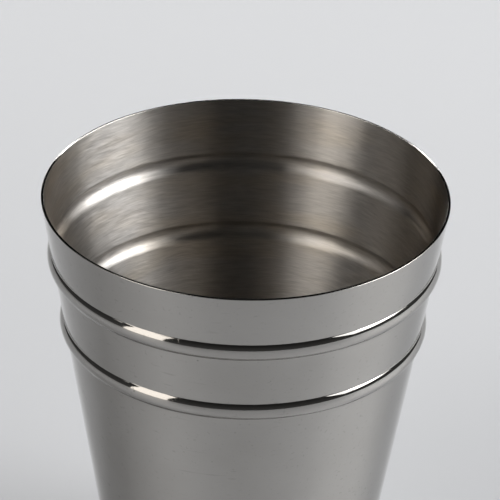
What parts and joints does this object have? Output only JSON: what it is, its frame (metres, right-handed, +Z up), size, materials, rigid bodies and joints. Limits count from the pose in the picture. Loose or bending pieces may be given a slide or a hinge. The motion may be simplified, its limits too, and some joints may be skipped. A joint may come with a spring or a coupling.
{
  "type": "julep cup",
  "caption": "Tapered sheet-metal drinking cup with rolled beads under a plain polished rim, a brazed-in floor and a half-round foot moulding.",
  "frame": {"origin": "centre of the foot, on the surface that the cup stands on", "axes": "+Z up along the cup's axis to the mouth, +X to the right and -Y towards the viewer in the picture; the cup is round, so X and Y are interchangeable"},
  "size_m": [0.088, 0.088, 0.1],
  "materials": {
    "wall_steel": "mirror polish outside and on the rim, satin brushed round the inside",
    "floor_steel": "satin, brushed in circles",
    "foot_steel": "mirror polish",
    "braze": "silver brazing metal, dressed smooth"
  },
  "bodies": {
    "root": {"cup_wall": "wall_steel", "floor_disc": "floor_steel", "foot_ring": "foot_steel", "floor_braze": "braze", "foot_braze": "braze"}
  },
  "joints": []
}
